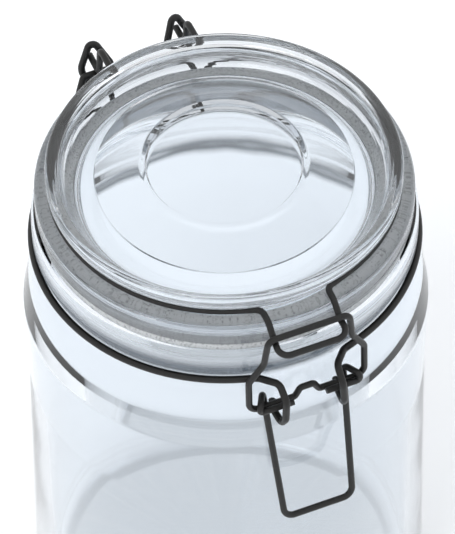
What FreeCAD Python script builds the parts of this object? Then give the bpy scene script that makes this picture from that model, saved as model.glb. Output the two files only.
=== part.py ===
import FreeCAD, Part
import Sketcher
import math
import os

# Clip-top glass storage jar.  Base at z = 0, +Z up, the clasp facing -Y,
# the hinge at +Y.  All sizes in millimetres.

doc = FreeCAD.newDocument("ClipTopJar")
sheet = doc.addObject("Spreadsheet::Sheet", "Sizes")
sheet.Label = "Sizes"

SIZES = [
    # jar, radii stepping in from the body and heights stepping up from its top
    ("body_radius", 60.0), ("body_top", 105.0), ("shoulder_swell", 0.8), ("shoulder_rise", 29.0),
    ("neck_step", 2.4), ("neck_rise", 18.5), ("groove_step", 1.4), ("groove_rise", 8.2),
    ("bead_step", 1.3), ("bead_rise", 3.5), ("lip_height", 7.5), ("lip_width", 11.0),
    ("throat_rise", 18.0), ("wall", 4.0), ("floor", 6.0), ("inner_rise", 8.0),
    ("heel_round", 8.0), ("inner_heel_round", 6.0), ("shoulder_round", 10.0), ("throat_round", 7.0),
    ("lip_round", 1.6),
    # seal
    ("seal_gap", 0.1), ("seal_set", 0.7), ("seal_inset", 2.1), ("seal_thick", 1.9),
    # lid, radii stepping in from its edge and heights from the plane of its wire
    ("lid_inset", 1.2), ("flange_height", 10.0), ("ledge_width", 5.6), ("ledge_gap", 0.2),
    ("brim_gap", 0.3), ("brim_over", 2.3), ("brim_thick", 4.1), ("brim_flat", 3.2),
    ("crest_width", 5.4), ("trough_flat", 1.6), ("trough_drop", 3.6), ("slope_run", 4.2),
    ("slope_height", 1.4), ("rise_run", 15.3), ("ridge_height", 6.0), ("ridge_flat", 1.7),
    ("disc_step", 0.4), ("disc_height", 5.5), ("lid_wall", 4.5), ("plug_gap", 0.5),
    ("plug_wall", 2.4), ("plug_depth", 3.6), ("lid_edge_round", 2.4),
    # wires
    ("lid_wire_radius", 1.0), ("lid_wire_gap", 0.14), ("neck_wire_radius", 1.1),
    ("neck_wire_gap", 0.3), ("link_wire_radius", 1.0), ("lever_wire_radius", 1.0),
    # beak of the lid wire
    ("beak_half", 10.4), ("beak_flare", 0.5), ("brow_out", 0.1), ("knee_out", 4.2),
    ("beak_knee_drop", 3.8), ("beak_length", 5.9), ("beak_tip_fall", 1.5),
    # clasp
    ("pin_out", 5.2), ("pin_below", 7.7), ("pin_offset", 0.35), ("pin_past", 5.0),
    ("link_seat", 0.2), ("link_seat_out", 1.5), ("link_top_gap", 0.4), ("link_side_gap", 0.5),
    ("bow_rise", 3.2), ("bow_gap", 0.3), ("leg_over", 0.7), ("hook_over", 3.6),
    ("hook_rise", 1.4), ("handle_half", 10.9), ("handle_out", 6.5), ("handle_length", 43.9),
    # front eyes and rear ears of the neck wire, tails of the lid wire
    ("eye_half", 10.2), ("eye_front_gap", 1.7), ("eye_back_gap", 2.35), ("eye_low_gap", 3.3),
    ("ear_middle", 13.4), ("ear_room", 3.9), ("ear_out", 7.2), ("ear_foot_drop", 14.0),
    ("ear_tip_out", 5.6), ("ear_rise", 9.4), ("ear_wrap_gap", 0.9), ("tail_out", 5.4),
    ("tail_side", 0.7),
]

# sizes that follow from the ones above, each a sum
FOLLOWS = {
    "shoulder_radius": "body_radius + shoulder_swell",
    "neck_radius": "body_radius - neck_step",
    "groove_radius": "neck_radius - groove_step",
    "bead_radius": "groove_radius + bead_step",
    "mouth_radius": "bead_radius - lip_width",
    "shoulder_height": "body_top + shoulder_rise",
    "neck_height": "shoulder_height + neck_rise",
    "groove_height": "neck_height + groove_rise",
    "bead_bottom": "groove_height + bead_rise",
    "lip_top": "bead_bottom + lip_height",
    "inner_shoulder": "shoulder_height + inner_rise",
    "throat_height": "inner_shoulder + throat_rise",
    "seal_inner": "mouth_radius + seal_set",
    "seal_outer": "bead_radius - seal_inset",
    "lid_bottom": "lip_top + seal_gap + seal_thick + seal_gap",
    "lid_radius": "bead_radius - lid_inset",
    "ledge_top": "lid_bottom + flange_height",
    "wire_plane": "ledge_top + lid_wire_radius + ledge_gap",
    "ledge_radius": "lid_radius - ledge_width",
    "brim_bottom": "wire_plane + lid_wire_radius + brim_gap",
    "brim_top": "brim_bottom + brim_thick",
    "brim_radius": "ledge_radius + brim_over",
    "crest_radius": "brim_radius - brim_flat",
    "trough_outer": "crest_radius - crest_width",
    "trough_radius": "trough_outer - trough_flat",
    "trough_floor": "wire_plane - trough_drop",
    "slope_radius": "trough_radius - slope_run",
    "ridge_outer": "slope_radius - rise_run + ridge_flat",
    "ridge_radius": "slope_radius - rise_run",
    "disc_radius": "ridge_radius - disc_step",
    "plug_radius": "mouth_radius - plug_gap",
    "plug_inner": "plug_radius - plug_wall",
    "lid_ring_radius": "ledge_radius + lid_wire_radius + lid_wire_gap",
    "neck_ring_radius": "groove_radius + neck_wire_radius + neck_wire_gap",
    "beak_brow": "lid_radius + brow_out",
    "beak_knee": "beak_brow + knee_out",
    "beak_reach": "beak_knee + beak_length",
    "link_top_reach": "beak_knee + link_seat_out",
    "link_top_height": "wire_plane - beak_knee_drop + lid_wire_radius + link_wire_radius + link_seat",
    "link_top_half": "beak_half + lid_wire_radius + link_wire_radius + link_top_gap",
    "pin_reach": "neck_ring_radius + pin_out",
    "pin_height": "groove_height - pin_below",
    "pin_tip": "eye_half - pin_past",
    "bar_offset": "lever_wire_radius + link_wire_radius + pin_offset",
    "leg_half": "eye_half + neck_wire_radius + lever_wire_radius + leg_over - 0.1",
    "hook_half": "eye_half + neck_wire_radius + lever_wire_radius + hook_over",
    "link_half": "hook_half + lever_wire_radius + link_wire_radius + link_side_gap",
    "eye_reach": "pin_reach + lever_wire_radius + neck_wire_radius + eye_front_gap",
    "eye_back": "pin_reach - lever_wire_radius - neck_wire_radius - eye_back_gap",
    "eye_bottom": "pin_height - lever_wire_radius - neck_wire_radius - eye_low_gap",
    "ear_half": "neck_wire_radius + ear_room",
    "ear_foot": "neck_ring_radius + ear_out",
    "ear_tip": "ear_foot + ear_tip_out",
    "tail_reach": "ear_foot + tail_out",
    "tail_half": "ear_middle + tail_side",
}

for row, (alias, number) in enumerate(SIZES, start=1):
    sheet.set("A%d" % row, alias)
    sheet.set("B%d" % row, str(number))
    sheet.setAlias("B%d" % row, alias)
doc.recompute()


def size(alias):
    value = sheet.get(alias)
    return float(getattr(value, "Value", value))


# ---------------------------------------------------------------- turned bodies

def turned(label, corners, rounds):
    """A body of revolution about Z; corners are (radius, height) expressions."""
    body = doc.addObject("PartDesign::Body", label)
    body.Label = label
    sketch = body.newObject("Sketcher::SketchObject", label + "_outline")
    plane = [f for f in body.Origin.OriginFeatures if f.Role == "XZ_Plane"][0]
    sketch.AttachmentSupport = (plane, [""])
    sketch.MapMode = "FlatFace"
    points = [(number(r), number(z)) for r, z in corners]
    count = len(points)
    for index in range(count):
        x0, z0 = points[index]
        x1, z1 = points[(index + 1) % count]
        sketch.addGeometry(Part.LineSegment(FreeCAD.Vector(x0, z0, 0), FreeCAD.Vector(x1, z1, 0)), False)
    for index in range(count):
        sketch.addConstraint(Sketcher.Constraint("Coincident", index, 2, (index + 1) % count, 1))
    for index, (r, z) in enumerate(corners):
        for kind, text, value in (("DistanceX", r, points[index][0]), ("DistanceY", z, points[index][1])):
            if text == "0":
                on_axis = -2 if kind == "DistanceX" else -1
                sketch.addConstraint(Sketcher.Constraint("PointOnObject", index, 1, on_axis))
                continue
            place = sketch.addConstraint(Sketcher.Constraint(kind, -1, 1, index, 1, value))
            sketch.setExpression("Constraints[%d]" % place, expression(text))
    turn = body.newObject("PartDesign::Revolution", label + "_turn")
    turn.Profile = sketch
    turn.ReferenceAxis = (sketch, ["V_Axis"])
    turn.Angle = 360.0
    doc.recompute()
    last = turn
    for step, (spots, radius) in enumerate(rounds):
        names = []
        for r, z in spots:
            names += rings(last.Shape, number(r), number(z))
        fillet = body.newObject("PartDesign::Fillet", "%s_round_%d" % (label, step + 1))
        fillet.Base = (last, names)
        fillet.Radius = number(radius)
        if not radius.replace(".", "").isdigit():
            fillet.setExpression("Radius", expression(radius))
        doc.recompute()
        last = fillet
    return body


def expression(text):
    """The same sum with every following size written out in cells of the sheet."""
    words = []
    for word in text.split():
        if word in FOLLOWS:
            words.append("(%s)" % expression(FOLLOWS[word]))
        elif word[0].isalpha():
            words.append("Sizes." + word)
        else:
            words.append(word)
    return " ".join(words)


def number(text):
    """The value of a sum of sizes and plain numbers."""
    total = 0.0
    sign = 1.0
    for word in text.split():
        if word in "+-":
            sign = 1.0 if word == "+" else -1.0
        elif word in FOLLOWS:
            total += sign * number(FOLLOWS[word])
        else:
            total += sign * (size(word) if word[0].isalpha() else float(word))
    return total


def rings(shape, radius, height):
    """Names of the full circles of this radius at this height."""
    names = []
    for index, edge in enumerate(shape.Edges, start=1):
        curve = edge.Curve
        if not isinstance(curve, Part.Circle):
            continue
        if abs(curve.Radius - radius) < 0.01 and abs(curve.Center.z - height) < 0.01:
            names.append("Edge%d" % index)
    return names


jar = turned(
    "jar_glass",
    [
        ("0", "0"), ("body_radius", "0"), ("body_radius", "body_top"),
        ("shoulder_radius", "shoulder_height"), ("neck_radius", "neck_height"),
        ("groove_radius", "groove_height - 2.0"), ("groove_radius", "groove_height + 1.0"),
        ("bead_radius", "bead_bottom"), ("bead_radius", "lip_top"), ("mouth_radius", "lip_top"),
        ("mouth_radius", "throat_height"), ("body_radius - wall", "inner_shoulder"),
        ("body_radius - wall", "floor"), ("0", "floor"),
    ],
    [
        ([("body_radius", "0")], "heel_round"),
        ([("body_radius - wall", "floor")], "inner_heel_round"),
        ([("shoulder_radius", "shoulder_height")], "shoulder_round"),
        ([("body_radius - wall", "inner_shoulder"), ("mouth_radius", "throat_height")], "throat_round"),
        (
            [("bead_radius", "bead_bottom"), ("bead_radius", "lip_top"), ("mouth_radius", "lip_top")],
            "lip_round",
        ),
    ],
)

seal = turned(
    "seal",
    [
        ("seal_inner", "lip_top + seal_gap"), ("seal_outer", "lip_top + seal_gap"),
        ("seal_outer", "lip_top + seal_gap + seal_thick"),
        ("seal_inner", "lip_top + seal_gap + seal_thick"),
    ],
    [],
)

lid = turned(
    "lid_glass",
    [
        ("0", "wire_plane + disc_height"), ("disc_radius", "wire_plane + disc_height"),
        ("ridge_radius", "wire_plane + ridge_height"), ("ridge_outer", "wire_plane + ridge_height"),
        ("slope_radius", "wire_plane + slope_height"), ("trough_radius", "trough_floor"),
        ("trough_outer", "trough_floor"), ("crest_radius", "brim_top"), ("brim_radius", "brim_top"),
        ("brim_radius", "brim_bottom"), ("ledge_radius", "brim_bottom"), ("ledge_radius", "ledge_top"),
        ("lid_radius", "ledge_top"), ("lid_radius", "lid_bottom"), ("plug_radius", "lid_bottom"),
        ("plug_radius", "lip_top - plug_depth"), ("plug_inner", "lip_top - plug_depth"),
        ("plug_inner", "trough_floor - lid_wall"),
        ("slope_radius", "wire_plane + slope_height - lid_wall - 2.4"),
        ("ridge_radius", "wire_plane + ridge_height - lid_wall - 0.6"),
        ("0", "wire_plane + disc_height - lid_wall - 0.1"),
    ],
    [
        ([("lid_radius", "ledge_top"), ("lid_radius", "lid_bottom")], "lid_edge_round"),
        ([("brim_radius", "brim_top")], "2.0"),
        ([("brim_radius", "brim_bottom")], "1.6"),
        ([("crest_radius", "brim_top")], "1.6"),
        ([("ridge_outer", "wire_plane + ridge_height")], "3.0"),
        ([("ridge_radius", "wire_plane + ridge_height")], "0.2"),
        ([("plug_radius", "lip_top - plug_depth"), ("plug_inner", "lip_top - plug_depth")], "0.9"),
    ],
)


# ---------------------------------------------------------------- bent wires

def at(outward, along, up):
    """Clasp axes: outward from the jar at the clasp, along the bars, and up."""
    return FreeCAD.Vector(along, -outward, up)


def rounded(points, radii, closed):
    """A polyline with a bend of its own radius at each corner."""
    count = len(points)
    order = range(count) if closed else range(1, count - 1)
    bends = {}
    for index in order:
        before = points[index - 1] - points[index]
        after = points[(index + 1) % count] - points[index]
        before.normalize()
        after.normalize()
        angle = before.getAngle(after)
        reach = radii[index] / math.tan(angle / 2)
        middle = before + after
        middle.normalize()
        depth = radii[index] / math.sin(angle / 2) - radii[index]
        bends[index] = (
            points[index] + before * reach,
            points[index] + middle * depth,
            points[index] + after * reach,
        )
    edges = []
    spans = count if closed else count - 1
    for index in range(spans):
        follow = (index + 1) % count
        start = bends[index][2] if index in bends else points[index]
        stop = bends[follow][0] if follow in bends else points[follow]
        if start.distanceToPoint(stop) > 0.001:
            edges.append(Part.makeLine(start, stop))
        if follow in bends:
            edges.append(Part.Arc(*bends[follow]).toShape())
    return Part.Wire(edges)


def bent(label, points, radii, closed, gauge):
    """A round wire swept along a rounded polyline."""
    path = doc.addObject("Part::Feature", label + "_path")
    path.Shape = rounded(points, radii, closed)
    first = path.Shape.Edges[0]
    start = first.valueAt(first.FirstParameter)
    heading = first.tangentAt(first.FirstParameter)
    ring = doc.addObject("Part::Circle", label + "_ring")
    ring.setExpression("Radius", "Sizes." + gauge)
    turn = FreeCAD.Rotation(FreeCAD.Vector(0, 0, 1), heading)
    ring.Placement = FreeCAD.Placement(start, turn)
    sweep = doc.addObject("Part::Sweep", label)
    sweep.Label = label
    sweep.Sections = [ring]
    sweep.Spine = (path, ["Edge%d" % (n + 1) for n in range(len(path.Shape.Edges))])
    sweep.Solid = True
    sweep.Frenet = False
    doc.recompute()
    return sweep


def ring_corners(radius, begin, end, pieces, height):
    """Corners of the polygon round a circle, from begin to end in radians."""
    step = (end - begin) / pieces
    reach = radius / math.cos(step / 2)
    corners = []
    for piece in range(pieces):
        turn = begin + (piece + 0.5) * step
        corners.append((reach * math.cos(turn), -reach * math.sin(turn), height))
    return corners


def mirrored(corners):
    return [(outward, -along, up) for outward, along, up in corners]


plane = number("wire_plane")
lid_r = size("lid_wire_radius")
neck_r = size("neck_wire_radius")
lever_r = size("lever_wire_radius")

# lid wire: beak at the front, a ring on the ledge, tails through the ears behind
ring_r = number("lid_ring_radius")
beak = size("beak_half")
tail = number("tail_half")
foot = number("ear_foot")
foot_z = plane - size("ear_foot_drop")
knee_z = plane - size("beak_knee_drop")
front_turn = math.radians(20)
front_run = (ring_r * math.sin(front_turn) - beak) / math.cos(front_turn)
rear_turn = math.pi - math.asin(tail / ring_r) - math.radians(6)
rear_run = (ring_r * math.sin(rear_turn) - tail) / -math.cos(rear_turn)
half = [
    (number("beak_reach"), -beak - size("beak_flare"), knee_z - size("beak_tip_fall")),
    (number("beak_knee"), -beak, knee_z),
    (number("beak_brow"), -beak, plane - 0.1),
    (ring_r * math.cos(front_turn) + front_run * math.sin(front_turn), -beak, plane),
]
half += ring_corners(ring_r, front_turn, rear_turn, 6, plane)
half += [
    (ring_r * math.cos(rear_turn) - rear_run * math.sin(rear_turn), -tail, plane),
    (-foot + 3.4, -tail, plane),
    (-foot + 2.4, -tail, foot_z + neck_r + lid_r + 0.2),
    (-number("tail_reach"), -tail, foot_z + neck_r + lid_r + 0.6),
]
half_bends = [3.2, 4.0, 3.0, 2.8] + [ring_r] * 6 + [2.5, 2.5, 2.2, 0.0]
corners = half[::-1] + mirrored(half)
bent("lid_wire", [at(*c) for c in corners], half_bends[::-1] + half_bends, False, "lid_wire_radius")

# neck wire: an open ring in the groove, eyes at the front, ears at the back
ring_r = number("neck_ring_radius")
ring_z = number("groove_height")
eye = size("eye_half")
eye_n = number("eye_reach")
eye_z = number("eye_bottom")
ear = size("ear_middle")
wide = number("ear_half")
front_turn = math.radians(19)
front_half = eye + 2.3 + neck_r
front_run = (ring_r * math.sin(front_turn) - front_half) / math.cos(front_turn)
rear_turn = math.pi - math.asin((ear + wide + 6.85) / ring_r)
half = [
    (number("eye_back"), -eye, eye_z + 3.8),
    (number("eye_back") + 0.65, -eye, eye_z + 0.5),
    (eye_n - 2.0, -eye + 0.3, eye_z),
    (eye_n, -eye + 0.8, eye_z + 3.6),
    (eye_n - 0.2, -eye + 1.2, eye_z + 10.8),
    (eye_n - 5.0, -eye + 1.0, eye_z + 14.2),
    (ring_r * math.cos(front_turn) + front_run * math.sin(front_turn), -front_half, ring_z),
]
half += ring_corners(ring_r, front_turn, rear_turn, 5, ring_z)
half += [
    (-foot + 4.6, -ear - wide - 4.9, ring_z + 2.3),
    (-foot, -ear - wide, foot_z),
    (-foot, -ear + wide, foot_z),
    (-number("ear_tip"), -ear, foot_z + size("ear_rise")),
    (-foot - 2 * neck_r - size("ear_wrap_gap"), -ear - wide + 0.2, foot_z - 0.3),
    (-ring_r - 1.6, -ear + 0.6, ring_z),
]
half_bends = [0.0, 2.3, 2.6, 2.6, 3.0, 3.0, 3.0] + [ring_r] * 5 + [4.0, 1.6, 1.6, 1.6, 4.0, 2.5]
corners = half + mirrored(half)[::-1]
bent("neck_wire", [at(*c) for c in corners], half_bends + half_bends[::-1], False, "neck_wire_radius")

# link: a closed loop over the beak, its lower bar beside the lever's pins
pin_n = number("pin_reach")
pin_z = number("pin_height")
lean = math.radians(195)
bar_n = pin_n + number("bar_offset") * math.cos(lean)
bar_z = pin_z + number("bar_offset") * math.sin(lean)
top_n = number("link_top_reach")
top_z = number("link_top_height")
top = number("link_top_half")
side = number("link_half")
bow = number("pin_tip") - size("link_wire_radius") - size("bow_gap")
half = [
    (top_n, -top, top_z),
    (top_n - 0.7, -top - 1.2, top_z - 10.6),
    (bar_n - 0.3, -side, top_z - 18.4),
    (bar_n, -side, bar_z),
    (bar_n, -bow, bar_z),
    (bar_n, -bow + 1.8, bar_z + size("bow_rise")),
]
half_bends = [2.6, 3.5, 3.5, 3.4, 1.2, 1.2]
corners = half + mirrored(half)[::-1]
bent("link", [at(*c) for c in corners], half_bends + half_bends[::-1], True, "link_wire_radius")

# lever: a handle whose legs hook over the link's lower bar and end as pins in the eyes
over = lever_r + size("link_wire_radius") + size("hook_rise")
hook = number("hook_half")
half = [
    (pin_n + size("handle_out"), -size("handle_half"), pin_z - size("handle_length")),
    (bar_n - 3.1, -number("leg_half"), bar_z + over - 0.4),
    (pin_n + 0.2, -hook, bar_z + over),
    (pin_n, -hook, pin_z),
    (pin_n, -number("pin_tip"), pin_z),
]
half_bends = [3.2, 1.8, 1.2, 1.3, 0.0]
corners = half[::-1] + mirrored(half)
bent("lever", [at(*c) for c in corners], half_bends[::-1] + half_bends, False, "lever_wire_radius")

# ---------------------------------------------------------------- checks and export

doc.recompute()
for thing in doc.Objects:
    if "Invalid" in thing.State or "Error" in thing.State:
        raise RuntimeError("%s is in state %s" % (thing.Name, thing.State))
NODES = ["jar_glass", "seal", "lid_glass", "lid_wire", "neck_wire", "link", "lever"]
os.makedirs("parts", exist_ok=True)
for node in NODES:
    shape = doc.getObject(node).Shape
    if shape.isNull() or not shape.isValid() or len(shape.Solids) != 1:
        raise RuntimeError("%s has no valid single solid" % node)
for node in NODES:
    doc.getObject(node).Shape.exportStep("parts/%s.step" % node)
    shape = doc.getObject(node).Shape
    print(node, "%.1f cm3" % (shape.Volume / 1000), shape.BoundBox)
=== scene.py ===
import math

import bpy
from mathutils import Matrix, Vector


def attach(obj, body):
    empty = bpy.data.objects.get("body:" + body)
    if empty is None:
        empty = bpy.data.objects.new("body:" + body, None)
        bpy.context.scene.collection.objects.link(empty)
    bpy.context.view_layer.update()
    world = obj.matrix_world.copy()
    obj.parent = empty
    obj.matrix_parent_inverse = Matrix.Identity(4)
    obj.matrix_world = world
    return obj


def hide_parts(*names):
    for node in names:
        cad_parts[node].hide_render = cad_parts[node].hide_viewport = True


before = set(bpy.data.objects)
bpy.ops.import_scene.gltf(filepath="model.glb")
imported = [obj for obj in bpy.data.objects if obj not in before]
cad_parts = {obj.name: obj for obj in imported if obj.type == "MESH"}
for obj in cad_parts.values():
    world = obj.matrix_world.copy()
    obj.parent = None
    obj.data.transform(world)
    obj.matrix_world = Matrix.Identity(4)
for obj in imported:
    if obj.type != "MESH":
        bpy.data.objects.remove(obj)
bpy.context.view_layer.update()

bl_info = {
    "name": "Clip-top Jar Looks",
    "version": (1, 0, 0),
    "blender": (4, 5, 0),
    "location": "View3D > Sidebar > Jar",
    "description": "Builds the glass, seal, wire finish and studio of the clip-top jar",
    "category": "Object",
}

MM = 0.001


def colour_setting(name, description, default):
    """A colour setting."""
    return bpy.props.FloatVectorProperty(
        name=name, description=description, default=default, subtype="COLOR", size=3, min=0.0, max=1.0)


def number_setting(name, description, default, low=0.0, high=1.0, subtype="FACTOR"):
    """A plain number setting."""
    return bpy.props.FloatProperty(
        name=name, description=description, default=default, subtype=subtype, min=low, max=high)


class JarSettings(bpy.types.PropertyGroup):
    glass_ior: number_setting("Glass IOR", "Refractive index of the jar and lid glass", 1.5, 1.0, 2.0, "NONE")
    glass_tint: colour_setting("Glass tint", "Base colour of the plain glass", (0.865, 0.897, 0.928))
    # Thick glass: partly its own absorption, partly painted shade where the real glass refracts dark.
    thick_glass_and_shade_tint: colour_setting("Thick glass tint", "Base colour of the thick glass", (0.80, 0.825, 0.85))
    # Painted shade: the near-black band in the neck glass, standing in for the dark the glass refracts there.
    neck_painted_shade: colour_setting("Neck glass tint", "Base colour of the neck's band", (0.022, 0.028, 0.036))
    # Painted shade: the grey band on the lid's flange, standing in for the grey the glass refracts there.
    flange_painted_shade: colour_setting("Flange tint", "Base colour of the lid's flange", (0.40, 0.43, 0.47))
    # Painted shade: the dark wavy line in the jar wall, standing in for a dark band the glass refracts.
    ripple_painted_shade: colour_setting("Ripple tint", "Base colour of the wavy line in the wall", (0.04, 0.05, 0.06))
    wire_tint: colour_setting("Wire colour", "Base colour of the coated wires", (0.009, 0.0088, 0.0085))
    wobble: number_setting("Glass waviness", "Strength of the moulded waviness", 0.05)
    streaks: number_setting("Ring streaks", "Strength of the fine streaks round the glass", 0.55)


# ---------------------------------------------------------------- shapes

TURN_STEPS = 256
CORNER_STEPS = 7
ROUNDING_SHARE = 0.48  # of the shorter line at a corner
NEARLY_STRAIGHT = 0.01  # radians
NEARLY_AXIS = 1e-6  # millimetres


def softened(corners):
    """Rounds each corner (r, z, radius) of an outline but its ends; returns (r, z) points."""
    points = []
    last = len(corners) - 1
    for index, (r, z, bend) in enumerate(corners):
        here = Vector((r, z))
        if bend <= 0.0 or index in (0, last):
            points.append(here)
            continue
        before = Vector(corners[index - 1][:2]) - here
        after = Vector(corners[index + 1][:2]) - here
        room = ROUNDING_SHARE * min(before.length, after.length)
        before.normalize()
        after.normalize()
        half = math.acos(max(-1.0, min(1.0, before.dot(after)))) / 2
        if half > math.pi / 2 - NEARLY_STRAIGHT:
            points.append(here)
            continue
        reach = min(bend / math.tan(half), room)
        bend = reach * math.tan(half)
        middle = (before + after).normalized() * (bend / math.sin(half)) + here
        start = here + before * reach - middle
        stop = here + after * reach - middle
        sweep = math.pi - 2 * half
        for step in range(CORNER_STEPS + 1):
            part = step / CORNER_STEPS
            spot = (start * math.sin((1 - part) * sweep) + stop * math.sin(part * sweep)) / math.sin(sweep)
            points.append(middle + spot)
    return points


def lathe(name, corners, closed=False):
    """Turns an outline about Z into a smooth-shaded mesh: from axis to axis, or a closed ring."""
    if closed:
        ring = softened(corners + corners[:1])[1:]
    else:
        ring = softened(corners)
    vertices = []
    rows = []
    for point in ring:
        if point.x < NEARLY_AXIS:
            rows.append([len(vertices)])
            vertices.append((0.0, 0.0, point.y * MM))
            continue
        rows.append(range(len(vertices), len(vertices) + TURN_STEPS))
        for turn in range(TURN_STEPS):
            angle = 2 * math.pi * turn / TURN_STEPS
            across = point.x * MM
            vertices.append((across * math.cos(angle), across * math.sin(angle), point.y * MM))
    faces = []
    pairs = list(zip(rows, rows[1:]))
    if closed:
        pairs.append((rows[-1], rows[0]))
    for low, high in pairs:
        for turn in range(TURN_STEPS):
            after = (turn + 1) % TURN_STEPS
            if len(low) == 1:
                faces.append((low[0], high[after], high[turn]))
            elif len(high) == 1:
                faces.append((low[turn], low[after], high[0]))
            else:
                faces.append((low[turn], low[after], high[after], high[turn]))
    mesh = bpy.data.meshes.new(name)
    mesh.from_pydata(vertices, [], faces)
    mesh.validate()
    mesh.shade_smooth()
    piece = bpy.data.objects.new(name, mesh)
    bpy.context.collection.objects.link(piece)
    return piece


# Outlines are corners (radius, height, rounding) in millimetres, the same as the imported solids
# but for the lid's crease and rim, and for the seal, which is pressed against both glasses.

BODY_RADIUS = 60.0
INSIDE_RADIUS = 56.0
FLOOR_THICKNESS = 6.0
SHOULDER_RADIUS = 60.8
GROOVE_RADIUS = 56.2
LIP_RADIUS = 57.5
LIP_TOP = 171.7
MOUTH_RADIUS = 46.5

JAR_OUTLINE = [
    # underside and heel
    (0.0, 0.0, 0), (BODY_RADIUS, 0.0, 8.0),
    # body and shoulder
    (BODY_RADIUS, 105.0, 60.0), (SHOULDER_RADIUS, 134.0, 10.0), (57.6, 152.5, 8.0),
    # groove for the neck wire
    (GROOVE_RADIUS, 158.7, 1.5), (GROOVE_RADIUS, 161.7, 1.0),
    # lip
    (LIP_RADIUS, 164.2, 1.6), (LIP_RADIUS, LIP_TOP, 1.6), (MOUTH_RADIUS, LIP_TOP, 1.6),
    # inside of the shoulder, wall and floor
    (MOUTH_RADIUS, 160.0, 7.0), (INSIDE_RADIUS, 142.0, 7.0), (INSIDE_RADIUS, FLOOR_THICKNESS, 6.0),
    (0.0, FLOOR_THICKNESS, 0),
]

DISC_TOP = 190.5
RIDGE_TOP = 191.0
TROUGH_BOTTOM = 181.4
RIM_RADIUS = 53.0
RIM_TOP = 190.4
RIM_BOTTOM = 186.3
LEDGE_RADIUS = 50.7
FLANGE_RADIUS = 56.3
FLANGE_TOP = 183.8
FLANGE_BOTTOM = 173.8
PLUG_OUTER_RADIUS = 46.0
PLUG_INNER_RADIUS = 43.6
PLUG_BOTTOM = 168.1
DOME_UNDERSIDE = 185.9

LID_OUTLINE = [
    # disc and the ridge round it
    (0.0, DISC_TOP, 0), (22.9, DISC_TOP, 0.2), (23.3, RIDGE_TOP, 0.3), (25.0, RIDGE_TOP, 3.0),
    # slope, the small step of the crease, and the trough
    (38.3, 186.6, 0.1), (38.55, 186.15, 0.2), (42.8, TROUGH_BOTTOM, 2.0), (44.4, TROUGH_BOTTOM, 1.6),
    # rim
    (49.8, RIM_TOP, 2.4), (RIM_RADIUS, RIM_TOP, 2.2), (RIM_RADIUS, RIM_BOTTOM, 1.7),
    # ledge for the lid wire
    (LEDGE_RADIUS, RIM_BOTTOM, 0.3), (LEDGE_RADIUS, FLANGE_TOP, 0.4),
    # flange
    (FLANGE_RADIUS, FLANGE_TOP, 2.4), (FLANGE_RADIUS, FLANGE_BOTTOM, 2.4),
    (PLUG_OUTER_RADIUS, FLANGE_BOTTOM, 0.8),
    # plug ring
    (PLUG_OUTER_RADIUS, PLUG_BOTTOM, 0.9), (PLUG_INNER_RADIUS, PLUG_BOTTOM, 0.9),
    # underside of the trough and dome
    (PLUG_INNER_RADIUS, 176.9, 2.0), (38.6, 179.5, 6.0),
    (23.4, DOME_UNDERSIDE, 5.0), (0.0, DOME_UNDERSIDE, 0),
]

SEAL_INNER_RADIUS = 47.2
SEAL_OUTER_RADIUS = 55.4
SEAL_BITE = 0.05  # how far it reaches into each glass
SEAL_BOTTOM = LIP_TOP - SEAL_BITE
SEAL_TOP = FLANGE_BOTTOM + SEAL_BITE
SEAL_ROUNDING = 0.3

SEAL_OUTLINE = [
    (radius, height, SEAL_ROUNDING) for radius, height in (
        (SEAL_INNER_RADIUS, SEAL_BOTTOM), (SEAL_OUTER_RADIUS, SEAL_BOTTOM),
        (SEAL_OUTER_RADIUS, SEAL_TOP), (SEAL_INNER_RADIUS, SEAL_TOP))
]


# ---------------------------------------------------------------- materials

def new_group(name, inputs, outputs):
    """An empty shader group with its sockets; returns it with its two end nodes."""
    group = bpy.data.node_groups.new(name, "ShaderNodeTree")
    for label, kind, value in inputs:
        socket = group.interface.new_socket(name=label, in_out="INPUT", socket_type=kind)
        socket.default_value = value
    for label, kind in outputs:
        group.interface.new_socket(name=label, in_out="OUTPUT", socket_type=kind)
    return group, group.nodes.new("NodeGroupInput"), group.nodes.new("NodeGroupOutput")


def waviness_group():
    """Slow unevenness and fine streaks of moulded surfaces: a bumped normal.

    The streaks are a noise drawn out round the axis, and about a millimetre high.
    """
    group, entry, leave = new_group(
        "Moulded Waviness",
        [("Scale", "NodeSocketFloat", 30.0), ("Strength", "NodeSocketFloat", 0.1),
         ("Streaks", "NodeSocketFloat", 0.1)],
        [("Normal", "NodeSocketVector")])
    nodes, links = group.nodes, group.links
    place = nodes.new("ShaderNodeTexCoord")
    noise = nodes.new("ShaderNodeTexNoise")
    noise.inputs["Detail"].default_value = 1.0
    bump = nodes.new("ShaderNodeBump")
    bump.inputs["Distance"].default_value = 0.002
    links.new(place.outputs["Object"], noise.inputs["Vector"])
    links.new(entry.outputs["Scale"], noise.inputs["Scale"])
    links.new(noise.outputs["Fac"], bump.inputs["Height"])
    links.new(entry.outputs["Strength"], bump.inputs["Strength"])
    squeeze = nodes.new("ShaderNodeVectorMath")
    squeeze.operation = "MULTIPLY"
    squeeze.inputs[1].default_value = (7.0, 7.0, 900.0)
    fine = nodes.new("ShaderNodeTexNoise")
    fine.inputs["Scale"].default_value = 1.0
    fine.inputs["Detail"].default_value = 2.0
    lines = nodes.new("ShaderNodeBump")
    lines.inputs["Distance"].default_value = 0.0007
    links.new(place.outputs["Object"], squeeze.inputs[0])
    links.new(squeeze.outputs["Vector"], fine.inputs["Vector"])
    links.new(fine.outputs["Fac"], lines.inputs["Height"])
    links.new(entry.outputs["Streaks"], lines.inputs["Strength"])
    links.new(bump.outputs["Normal"], lines.inputs["Normal"])
    links.new(lines.outputs["Normal"], leave.inputs["Normal"])
    return group


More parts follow.
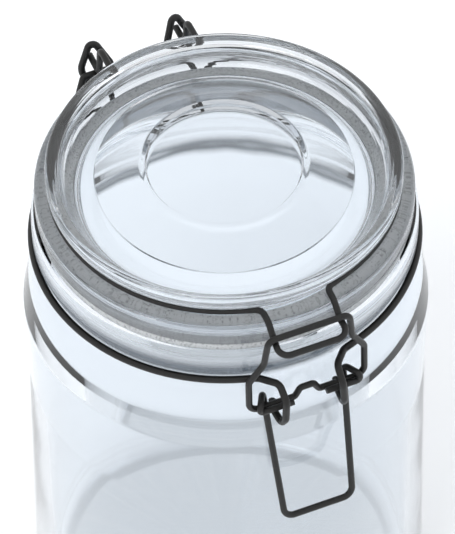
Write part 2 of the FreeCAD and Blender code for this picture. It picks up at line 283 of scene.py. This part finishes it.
def speckle_group():
    """Small scattered flecks: a mask from 0 to 1."""
    group, entry, leave = new_group(
        "Fine Flecks",
        [("Scale", "NodeSocketFloat", 400.0), ("Cut", "NodeSocketFloat", 0.62)],
        [("Mask", "NodeSocketFloat")])
    nodes, links = group.nodes, group.links
    place = nodes.new("ShaderNodeTexCoord")
    noise = nodes.new("ShaderNodeTexNoise")
    noise.inputs["Detail"].default_value = 2.0
    ramp = nodes.new("ShaderNodeMapRange")
    ramp.inputs["To Max"].default_value = 1.0
    ramp.inputs["From Max"].default_value = 0.75
    links.new(place.outputs["Object"], noise.inputs["Vector"])
    links.new(entry.outputs["Scale"], noise.inputs["Scale"])
    links.new(noise.outputs["Fac"], ramp.inputs["Value"])
    links.new(entry.outputs["Cut"], ramp.inputs["From Min"])
    links.new(ramp.outputs["Result"], leave.inputs["Mask"])
    return group


def shared(name, maker):
    """The group of that name, built once."""
    return bpy.data.node_groups.get(name) or maker()


def fresh_material(name):
    """A new material with its nodes, links and Principled shader."""
    material = bpy.data.materials.new(name)
    material.use_nodes = True
    nodes = material.node_tree.nodes
    return material, nodes, material.node_tree.links, nodes["Principled BSDF"]


def heavy_glass_group():
    """A mask from a point's distance to the axis and its height: where a turned glass wall is thick, and
    where painted shade bands lie.
    """
    group, entry, leave = new_group(
        "Heavy Glass",
        [("Inner Radius", "NodeSocketFloat", 0.03), ("Outer Radius", "NodeSocketFloat", 0.05),
         ("Low", "NodeSocketFloat", 0.0), ("High", "NodeSocketFloat", 0.1)],
        [("Mask", "NodeSocketFloat")])
    nodes, links = group.nodes, group.links
    place = nodes.new("ShaderNodeTexCoord")
    flat = nodes.new("ShaderNodeVectorMath")
    flat.operation = "MULTIPLY"
    flat.inputs[1].default_value = (1.0, 1.0, 0.0)
    away = nodes.new("ShaderNodeVectorMath")
    away.operation = "LENGTH"
    split = nodes.new("ShaderNodeSeparateXYZ")
    across = nodes.new("ShaderNodeMapRange")
    across.interpolation_type = "SMOOTHSTEP"
    along = nodes.new("ShaderNodeMapRange")
    along.interpolation_type = "SMOOTHSTEP"
    both = nodes.new("ShaderNodeMath")
    both.operation = "MULTIPLY"
    links.new(place.outputs["Object"], flat.inputs[0])
    links.new(flat.outputs["Vector"], away.inputs[0])
    links.new(place.outputs["Object"], split.inputs["Vector"])
    links.new(away.outputs["Value"], across.inputs["Value"])
    links.new(entry.outputs["Inner Radius"], across.inputs["From Min"])
    links.new(entry.outputs["Outer Radius"], across.inputs["From Max"])
    links.new(split.outputs["Z"], along.inputs["Value"])
    links.new(entry.outputs["Low"], along.inputs["From Min"])
    links.new(entry.outputs["High"], along.inputs["From Max"])
    links.new(across.outputs["Result"], both.inputs[0])
    links.new(along.outputs["Result"], both.inputs[1])
    links.new(both.outputs["Value"], leave.inputs["Mask"])
    return group


def painted_shade_ripple_group():
    """A wavy line of painted shade round the hinge side of a wall, standing in for a dark band the glass
    refracts: a mask from 0 to 1.
    """
    group, entry, leave = new_group(
        "Painted Shade Ripple",
        [("Height", "NodeSocketFloat", 0.1), ("Half Width", "NodeSocketFloat", 0.002)],
        [("Mask", "NodeSocketFloat")])
    nodes, links = group.nodes, group.links
    place = nodes.new("ShaderNodeTexCoord")
    split = nodes.new("ShaderNodeSeparateXYZ")
    noise = nodes.new("ShaderNodeTexNoise")
    noise.inputs["Scale"].default_value = 60.0
    noise.inputs["Detail"].default_value = 1.0
    sway = nodes.new("ShaderNodeMath")
    sway.operation = "MULTIPLY_ADD"
    sway.inputs[1].default_value = 0.005
    off = nodes.new("ShaderNodeMath")
    off.operation = "SUBTRACT"
    size = nodes.new("ShaderNodeMath")
    size.operation = "ABSOLUTE"
    line = nodes.new("ShaderNodeMapRange")
    line.interpolation_type = "SMOOTHSTEP"
    line.inputs["From Min"].default_value = 0.0
    line.inputs["To Min"].default_value = 1.0
    line.inputs["To Max"].default_value = 0.0
    rear = nodes.new("ShaderNodeMapRange")
    rear.interpolation_type = "SMOOTHSTEP"
    rear.inputs["From Min"].default_value = 0.0
    rear.inputs["From Max"].default_value = 0.02
    both = nodes.new("ShaderNodeMath")
    both.operation = "MULTIPLY"
    links.new(place.outputs["Object"], split.inputs["Vector"])
    links.new(place.outputs["Object"], noise.inputs["Vector"])
    links.new(noise.outputs["Fac"], sway.inputs[0])
    links.new(split.outputs["Z"], sway.inputs[2])
    links.new(sway.outputs["Value"], off.inputs[0])
    links.new(entry.outputs["Height"], off.inputs[1])
    links.new(off.outputs["Value"], size.inputs[0])
    links.new(size.outputs["Value"], line.inputs["Value"])
    links.new(entry.outputs["Half Width"], line.inputs["From Max"])
    links.new(split.outputs["Y"], rear.inputs["Value"])
    links.new(line.outputs["Result"], both.inputs[0])
    links.new(rear.outputs["Result"], both.inputs[1])
    links.new(both.outputs["Value"], leave.inputs["Mask"])
    return group


def tinted(nodes, links, colour, mask, tint):
    """Mixes a tint over a colour by a mask and returns the new colour."""
    blend = nodes.new("ShaderNodeMix")
    blend.data_type = "RGBA"
    blend.inputs["B"].default_value = (*tint, 1.0)
    links.new(colour, blend.inputs["A"])
    links.new(mask, blend.inputs["Factor"])
    return blend.outputs["Result"]


def grouped(nodes, name, maker, **values):
    """A shared group's node with its inputs set."""
    node = nodes.new("ShaderNodeGroup")
    node.node_tree = shared(name, maker)
    for label, value in values.items():
        node.inputs[label.replace("_", " ")].default_value = value
    return node


JAR_WAVES = 22.0  # waves in a metre
LID_WAVES = 30.0
BAND_SOFTNESS = 0.003  # metres, as for the heights and radii below
# Height and half width of the painted-shade ripple, in metres.
RIPPLE_HEIGHT = 0.1365
RIPPLE_HALF_WIDTH = 0.0038
STREAK_RADII = (0.044, 0.050)
STREAK_HEIGHTS = (0.150, 0.160)


def heavy_mask(nodes, radii, heights):
    """The Heavy Glass mask that comes in over these radii and these heights, in metres."""
    return grouped(nodes, "Heavy Glass", heavy_glass_group, Inner_Radius=radii[0], Outer_Radius=radii[1],
                   Low=heights[0], High=heights[1]).outputs["Mask"]


def glass_material(name, settings, waves, radii, heights, bands, ripple=0.0):
    """Clear glass, greyer over the radii and heights, in metres, where the wall is thick: partly the thick
    glass's own absorption, partly painted shade.

    Each band is a painted shade, the radius it starts at, and the heights over which it comes and goes.
    The bands and the ripple are painted shade, standing in for the dark that the real glass refracts.
    """
    material, nodes, links, shader = fresh_material(name)
    shader.inputs["Transmission Weight"].default_value = 1.0
    shader.inputs["Roughness"].default_value = 0.0
    shader.inputs["IOR"].default_value = settings.glass_ior
    blend = nodes.new("ShaderNodeMix")
    blend.data_type = "RGBA"
    blend.inputs["A"].default_value = (*settings.glass_tint, 1.0)
    blend.inputs["B"].default_value = (*settings.thick_glass_and_shade_tint, 1.0)
    links.new(heavy_mask(nodes, radii, heights), blend.inputs["Factor"])
    colour = blend.outputs["Result"]
    # Painted shade bands over the glass colour.
    for band_shade, inner, comes, goes in bands:
        span = (inner, inner + BAND_SOFTNESS)
        colour = tinted(nodes, links, colour, heavy_mask(nodes, span, comes), band_shade)
        colour = tinted(nodes, links, colour, heavy_mask(nodes, span, goes), settings.thick_glass_and_shade_tint)
    # Painted shade: a dark wavy line over the wall.
    if ripple:
        line = grouped(nodes, "Painted Shade Ripple", painted_shade_ripple_group, Height=ripple, Half_Width=RIPPLE_HALF_WIDTH)
        colour = tinted(nodes, links, colour, line.outputs["Mask"], settings.ripple_painted_shade)
    links.new(colour, shader.inputs["Base Color"])
    wave = grouped(nodes, "Moulded Waviness", waviness_group, Scale=waves, Strength=settings.wobble)
    streaky = nodes.new("ShaderNodeMath")
    streaky.operation = "MULTIPLY"
    streaky.inputs[1].default_value = settings.streaks
    links.new(heavy_mask(nodes, STREAK_RADII, STREAK_HEIGHTS), streaky.inputs[0])
    links.new(streaky.outputs["Value"], wave.inputs["Streaks"])
    links.new(wave.outputs["Normal"], shader.inputs["Normal"])
    return material


def flecked(nodes, links, shader, scale, plain, fleck):
    """Feeds a base colour with small flecks to the shader."""
    flecks = grouped(nodes, "Fine Flecks", speckle_group, Scale=scale, Cut=0.5)
    blend = nodes.new("ShaderNodeMix")
    blend.data_type = "RGBA"
    blend.inputs["A"].default_value = (*plain, 1.0)
    blend.inputs["B"].default_value = (*fleck, 1.0)
    links.new(flecks.outputs["Mask"], blend.inputs["Factor"])
    links.new(blend.outputs["Result"], shader.inputs["Base Color"])


RUBBER_PLAIN = (0.80, 0.82, 0.83)
RUBBER_FLECK = (0.35, 0.36, 0.37)
WIRE_FLECK_LIFT = 1.6


def seal_material():
    """Pale rubber that lets a little light through."""
    material, nodes, links, shader = fresh_material("Translucent Rubber")
    shader.inputs["Transmission Weight"].default_value = 0.25
    shader.inputs["IOR"].default_value = 1.42
    shader.inputs["Roughness"].default_value = 0.25
    flecked(nodes, links, shader, 1400.0, RUBBER_PLAIN, RUBBER_FLECK)
    return material


def wire_material(settings):
    """Black satin coat with slightly paler flecks."""
    material, nodes, links, shader = fresh_material("Black Coated Wire")
    fleck = [part * WIRE_FLECK_LIFT for part in settings.wire_tint]
    flecked(nodes, links, shader, 900.0, settings.wire_tint, fleck)
    shader.inputs["Roughness"].default_value = 0.42
    shader.inputs["IOR"].default_value = 1.42
    return material


def paint(piece, material):
    """Gives a piece this one material."""
    piece.data.materials.clear()
    piece.data.materials.append(material)


# ---------------------------------------------------------------- operators

# Radii and heights in metres over which the glass turns grey, for jar and lid: partly the thick glass's own
# absorption, partly painted shade.
JAR_THICK = ((0.05, 0.056), (0.163, 0.166))
LID_THICK = ((0.040, 0.047), (0.160, 0.165))
# Painted shade bands: the radius each starts at, the heights it comes over and the heights it goes over.
NECK_SHADE_BAND = (0.053, (0.159, 0.162), (0.165, 0.1725))
# Painted shade on the lid's flange.
FLANGE_SHADE_BAND = (0.0535, (0.173, 0.176), (0.1825, 0.184))
WIRE_SHARP_ANGLE = math.radians(50)


class JAR_OT_glass(bpy.types.Operator):
    """Turn the glass jar and the glass lid"""
    bl_idname = "jar.glass"
    bl_label = "Build glass"

    def execute(self, context):
        settings = context.scene.jar_settings
        jar = lathe("jar_glass_shown", JAR_OUTLINE)
        paint(jar, glass_material(
            "Jar Glass", settings, JAR_WAVES, *JAR_THICK, [(settings.neck_painted_shade, *NECK_SHADE_BAND)], RIPPLE_HEIGHT))
        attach(jar, "jar")
        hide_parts("jar_glass")
        lid = lathe("lid_glass_shown", LID_OUTLINE[::-1])
        paint(lid, glass_material(
            "Lid Glass", settings, LID_WAVES, *LID_THICK, [(settings.flange_painted_shade, *FLANGE_SHADE_BAND)]))
        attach(lid, "jar")
        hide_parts("lid_glass")
        return {"FINISHED"}


class JAR_OT_seal(bpy.types.Operator):
    """Turn the translucent seal between jar and lid"""
    bl_idname = "jar.seal"
    bl_label = "Build seal"

    def execute(self, context):
        seal = lathe("seal_shown", SEAL_OUTLINE, closed=True)
        paint(seal, seal_material())
        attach(seal, "jar")
        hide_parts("seal")
        return {"FINISHED"}


class JAR_OT_wires(bpy.types.Operator):
    """Finish the black coated wires"""
    bl_idname = "jar.wires"
    bl_label = "Finish wires"

    def execute(self, context):
        material = wire_material(context.scene.jar_settings)
        for node in ("lid_wire", "neck_wire", "link", "lever"):
            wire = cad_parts[node]
            paint(wire, material)
            wire.data.shade_smooth()
            wire.data.set_sharp_from_angle(angle=WIRE_SHARP_ANGLE)
        return {"FINISHED"}


LAMP_AIM = (0.0, 0.0, 0.1)
LAMPS = (
    # name, place in metres, side in metres, watts, colour
    ("Key", (-0.9, -0.5, 1.3), 0.9, 10.0, (1.0, 0.99, 0.97)),
    ("Fill", (1.0, -0.7, 0.9), 0.8, 3.0, (0.97, 0.985, 1.0)),
)

# Height in the world, from level to overhead, and its colour there for the light it gives.
WORLD_COLOURS = (
    (0.0, (0.9, 0.93, 0.97)), (0.06, (0.9, 0.93, 0.97)), (0.2, (0.38, 0.4, 0.43)),
    (0.5, (0.40, 0.42, 0.45)), (0.85, (0.95, 0.97, 1.0)),
)
WHITE = (1.0, 1.0, 1.0, 1.0)

FLOOR_HALF = 6.0  # metres
FLOOR_COLOUR = (0.92, 0.92, 0.92, 1.0)
FLOOR_GLOW_COLOUR = (0.97, 0.985, 1.0, 1.0)
FLOOR_GLOW = 0.24

CAMERA_TURN = math.radians(-22.7)
CAMERA_RISE = math.radians(49.57)
CAMERA_ROLL = math.radians(-0.77)
CAMERA_DISTANCE = 2.2  # metres, and the reach too
CAMERA_REACH = 50.0
CAMERA_LENS = 496.18  # millimetres, and the rest too
CAMERA_SENSOR = 36.0
AIM_SIDE = 0.57
AIM_HEIGHT = 143.88


def area_lamp(name, place, side, watts, colour):
    """A square lamp aimed at the jar and hidden from reflections."""
    light = bpy.data.lights.new(name, "AREA")
    light.shape = "RECTANGLE"
    light.size = side
    light.size_y = side
    light.energy = watts
    light.color = colour
    lamp = bpy.data.objects.new(name, light)
    lamp.location = place
    lamp.rotation_euler = (Vector(LAMP_AIM) - Vector(place)).to_track_quat("-Z", "Y").to_euler()
    lamp.visible_glossy = False
    bpy.context.collection.objects.link(lamp)


def seen_rays(nodes, links):
    """1 on camera, transmission and glossy rays, which all see the pale background."""
    path = nodes.new("ShaderNodeLightPath")
    seen = path.outputs["Is Camera Ray"]
    for kind in ("Is Transmission Ray", "Is Glossy Ray"):
        either = nodes.new("ShaderNodeMath")
        either.operation = "MAXIMUM"
        links.new(seen, either.inputs[0])
        links.new(path.outputs[kind], either.inputs[1])
        seen = either.outputs["Value"]
    return seen


def pale_world():
    """White where it is seen, and graded for the light it gives."""
    world = bpy.data.worlds.new("Pale Studio")
    world.use_nodes = True
    nodes, links = world.node_tree.nodes, world.node_tree.links
    shade = nodes["Background"]
    shade.inputs["Strength"].default_value = 1.0
    place = nodes.new("ShaderNodeTexCoord")
    split = nodes.new("ShaderNodeSeparateXYZ")
    ramp = nodes.new("ShaderNodeValToRGB")
    steps = ramp.color_ramp.elements
    for step, (height, colour) in zip((steps[0], steps[1]), (WORLD_COLOURS[0], WORLD_COLOURS[-1])):
        step.position = height
        step.color = (*colour, 1.0)
    for height, colour in WORLD_COLOURS[1:-1]:
        steps.new(height).color = (*colour, 1.0)
    pale = nodes.new("ShaderNodeMix")
    pale.data_type = "RGBA"
    pale.inputs["B"].default_value = WHITE
    links.new(place.outputs["Generated"], split.inputs["Vector"])
    links.new(split.outputs["Z"], ramp.inputs["Fac"])
    links.new(seen_rays(nodes, links), pale.inputs["Factor"])
    links.new(ramp.outputs["Color"], pale.inputs["A"])
    links.new(pale.outputs["Result"], shade.inputs["Color"])
    return world


def pale_floor():
    """One wide sheet under the jar, which glows a little where it is seen and keeps the shadow."""
    material, nodes, links, shader = fresh_material("Floor White")
    shader.inputs["Roughness"].default_value = 0.9
    shader.inputs["Specular IOR Level"].default_value = 0.0
    shader.inputs["Emission Color"].default_value = FLOOR_GLOW_COLOUR
    shader.inputs["Base Color"].default_value = FLOOR_COLOUR
    glow = nodes.new("ShaderNodeMath")
    glow.operation = "MULTIPLY"
    glow.inputs[1].default_value = FLOOR_GLOW
    links.new(seen_rays(nodes, links), glow.inputs[0])
    links.new(glow.outputs["Value"], shader.inputs["Emission Strength"])
    corners = [(across * FLOOR_HALF, along * FLOOR_HALF, 0)
               for across, along in ((-1, -1), (1, -1), (1, 1), (-1, 1))]
    mesh = bpy.data.meshes.new("floor")
    mesh.from_pydata(corners, [], [tuple(range(len(corners)))])
    piece = bpy.data.objects.new("floor", mesh)
    bpy.context.collection.objects.link(piece)
    paint(piece, material)


def aimed_camera():
    """The camera, turned round the jar from the clasp and looking down on the lid."""
    lens = bpy.data.cameras.new("Camera")
    lens.sensor_width = CAMERA_SENSOR
    lens.sensor_fit = "AUTO"
    lens.lens = CAMERA_LENS
    lens.clip_end = CAMERA_REACH
    camera = bpy.data.objects.new("Camera", lens)
    spin = Matrix.Rotation(CAMERA_TURN, 3, "Z")
    ahead = spin @ Vector((0, math.cos(CAMERA_RISE), -math.sin(CAMERA_RISE)))
    right = spin @ Vector((1, 0, 0))
    up = spin @ Vector((0, math.sin(CAMERA_RISE), math.cos(CAMERA_RISE)))
    side = right * math.cos(CAMERA_ROLL) + up * math.sin(CAMERA_ROLL)
    top = up * math.cos(CAMERA_ROLL) - right * math.sin(CAMERA_ROLL)
    target = (spin @ Vector((AIM_SIDE, 0, 0)) + Vector((0, 0, AIM_HEIGHT))) * MM
    facing = Matrix((side, top, -ahead)).transposed().to_4x4()
    camera.matrix_world = Matrix.Translation(target - ahead * CAMERA_DISTANCE) @ facing
    bpy.context.collection.objects.link(camera)
    return camera


class JAR_OT_stage(bpy.types.Operator):
    """Lay the floor, hang the lamps and set the camera"""
    bl_idname = "jar.stage"
    bl_label = "Build stage"

    def execute(self, context):
        scene = context.scene
        scene.world = pale_world()
        pale_floor()
        for lamp in LAMPS:
            area_lamp(*lamp)
        scene.camera = aimed_camera()
        scene.view_settings.view_transform = "Standard"
        return {"FINISHED"}


class JAR_PT_panel(bpy.types.Panel):
    """Settings and building steps of the jar's looks"""
    bl_label = "Clip-top Jar"
    bl_idname = "JAR_PT_panel"
    bl_space_type = "VIEW_3D"
    bl_region_type = "UI"
    bl_category = "Jar"

    def draw(self, context):
        settings = context.scene.jar_settings
        for name in ("glass_ior", "glass_tint", "thick_glass_and_shade_tint", "neck_painted_shade", "flange_painted_shade", "ripple_painted_shade",
                     "wire_tint", "wobble", "streaks"):
            self.layout.prop(settings, name)
        for operator in OPERATORS:
            self.layout.operator(operator.bl_idname)


OPERATORS = (JAR_OT_glass, JAR_OT_seal, JAR_OT_wires, JAR_OT_stage)
CLASSES = (JarSettings,) + OPERATORS + (JAR_PT_panel,)


def register():
    """Makes the settings, the building steps and the panel known."""
    for cls in CLASSES:
        bpy.utils.register_class(cls)
    bpy.types.Scene.jar_settings = bpy.props.PointerProperty(type=JarSettings)


def unregister():
    """Takes them away again."""
    del bpy.types.Scene.jar_settings
    for cls in reversed(CLASSES):
        bpy.utils.unregister_class(cls)


def main():
    """Builds everything in order."""
    register()
    for operator in OPERATORS:
        group, name = operator.bl_idname.split(".")
        if getattr(getattr(bpy.ops, group), name)() != {"FINISHED"}:
            raise RuntimeError("%s did not finish" % operator.bl_idname)


if __name__ == "__main__":
    main()
